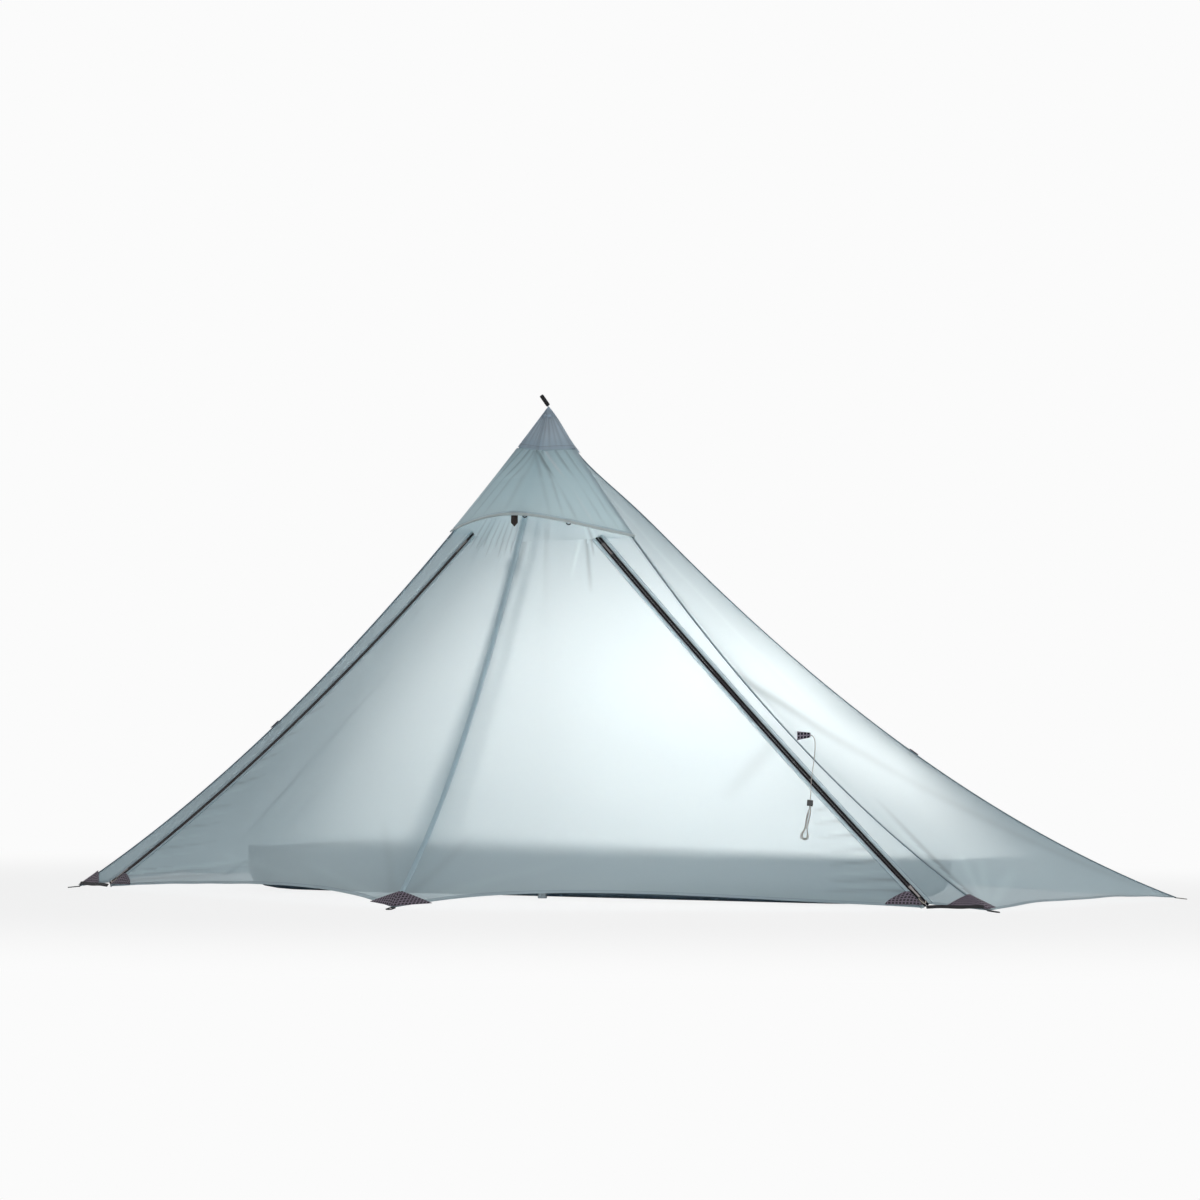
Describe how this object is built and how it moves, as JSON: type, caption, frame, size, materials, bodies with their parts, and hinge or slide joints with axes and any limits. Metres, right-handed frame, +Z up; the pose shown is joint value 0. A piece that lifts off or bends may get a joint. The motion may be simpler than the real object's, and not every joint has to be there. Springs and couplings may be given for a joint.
{
  "type": "pyramid tent",
  "caption": "One-person pyramid tent with a single centre pole, zipped front doors that meet at a pointed vestibule, a vent hood, stake loops and a mesh inner tent with a tub floor.",
  "frame": {"origin": "on the ground under the centre pole's foot", "axes": "+Z up along the pole, -Y toward the front corner of the vestibule, +X to the right-hand side corner seen from the front"},
  "size_m": [3.14, 2.2599, 1.4339],
  "materials": {
    "fly_cloth": "satin",
    "cone_cloth": "satin",
    "gridstop": "matte",
    "webbing": "matte",
    "zip_tape": "matte",
    "zip_metal": "satin",
    "cord_white": "matte",
    "plastic": "matte",
    "pole_metal": "satin",
    "mesh_cloth": "matte",
    "floor_cloth": "satin"
  },
  "bodies": {
    "fly": {"side_left": "fly_cloth", "side_right": "fly_cloth", "rear_panel": "fly_cloth", "seam_front": "fly_cloth", "seam_right": "fly_cloth", "seam_left": "fly_cloth", "seam_rear_right": "fly_cloth", "seam_rear_left": "fly_cloth", "front_left": "fly_cloth", "strip_left": "fly_cloth", "zip_left_frame": "zip_tape", "front_right": "fly_cloth", "strip_right": "fly_cloth", "door_right": "fly_cloth", "zip_right_frame": "zip_tape", "zip_right_door": "zip_tape", "peak_cone": "cone_cloth", "peak_pocket": "cone_cloth", "peak_loop": "webbing", "vent_hood": "fly_cloth", "patch_left": "gridstop", "strap_left": "webbing", "patch_right": "gridstop", "strap_right": "webbing", "patch_door_right": "gridstop", "hook_right": "zip_metal", "patch_front": "gridstop", "tie_out_front": "webbing", "tie_out_right": "webbing", "tie_out_left": "webbing", "tie_out_rear_right": "cord_white", "tie_out_rear_left": "cord_white", "tab_right": "gridstop", "tab_left": "gridstop", "tab_rear_right": "gridstop", "tab_rear_left": "gridstop", "guyline": "cord_white", "guyline_hank": "cord_white", "pole_lower": "pole_metal", "inner_floor": "floor_cloth", "inner_rear": "mesh_cloth", "inner_left": "mesh_cloth", "inner_right": "mesh_cloth", "inner_front": "mesh_cloth"},
    "door_left": {"door_left": "fly_cloth", "zip_left_door": "zip_tape", "patch_door_left": "gridstop", "hook_left": "zip_metal"},
    "slider_left_top": {"slider_left_top": "zip_metal"},
    "slider_left_foot": {"slider_left_foot": "zip_metal"},
    "slider_right_top": {"slider_right_top": "zip_metal"},
    "slider_right_foot": {"slider_right_foot": "zip_metal"},
    "vent_prop": {"vent_prop": "webbing"},
    "tie_back_centre": {"tie_back_centre": "webbing"},
    "tie_back_right": {"tie_back_right": "webbing"},
    "pole_upper": {"pole_upper": "pole_metal"},
    "pole_lever": {"pole_lever": "plastic"},
    "line_lock": {"line_lock": "plastic"},
    "inner_door": {"inner_door": "mesh_cloth"},
    "inner_slider": {"inner_slider": "zip_metal"}
  },
  "joints": [
    {"name": "door_left_fold", "type": "hinge", "parent": "fly", "child": "door_left", "pos_m": [-0.30585, -0.86008, 0.02837], "axis": [0.1154, 0.5959, 0.7947], "range_deg": [0, 140]},
    {"name": "slider_left_top_slide", "type": "slide", "parent": "door_left", "child": "slider_left_top", "axis": [-0.6661, -0.1197, -0.7362], "range_m": [0, 0.3]},
    {"name": "slider_right_top_slide", "type": "slide", "parent": "fly", "child": "slider_right_top", "axis": [0.7036, -0.1264, -0.6992], "range_m": [0, 0.3]},
    {"name": "slider_left_foot_slide", "type": "slide", "parent": "door_left", "child": "slider_left_foot", "axis": [0.7496, 0.1278, 0.6495], "range_m": [0, 0.5]},
    {"name": "slider_right_foot_slide", "type": "slide", "parent": "fly", "child": "slider_right_foot", "axis": [-0.7257, 0.1237, 0.6768], "range_m": [0, 0.5]},
    {"name": "vent_prop_swing", "type": "hinge", "parent": "fly", "child": "vent_prop", "pos_m": [-0.012, -0.2131, 1.08916], "axis": [1, 0, 0], "range_deg": [-25, 20]},
    {"name": "tie_back_centre_swing", "type": "hinge", "parent": "fly", "child": "tie_back_centre", "pos_m": [0.01893, -0.21214, 1.08959], "axis": [1, 0, 0], "range_deg": [-20, 20]},
    {"name": "tie_back_right_swing", "type": "hinge", "parent": "fly", "child": "tie_back_right", "pos_m": [0.13379, -0.16654, 1.07055], "axis": [1, 0, 0], "range_deg": [0, 20]},
    {"name": "pole_slide", "type": "slide", "parent": "fly", "child": "pole_upper", "axis": [0, 0, -1], "range_m": [0, 0.35]},
    {"name": "pole_lever_flip", "type": "hinge", "parent": "fly", "child": "pole_lever", "pos_m": [0, -0.02, 0.735], "axis": [-1, 0, 0], "range_deg": [0, 110]},
    {"name": "line_lock_slide", "type": "slide", "parent": "fly", "child": "line_lock", "axis": [-0.1616, 0.5443, 0.8232], "range_m": [0, 0.05]},
    {"name": "inner_door_swing", "type": "hinge", "parent": "fly", "child": "inner_door", "pos_m": [0.588, 0.03222, 0.13087], "axis": [-0.4939, 0.0236, 0.8692], "range_deg": [0, 60]},
    {"name": "inner_slider_slide", "type": "slide", "parent": "inner_door", "child": "inner_slider", "axis": [0, 0.0271, 0.9996], "range_m": [0, 0.9]}
  ]
}
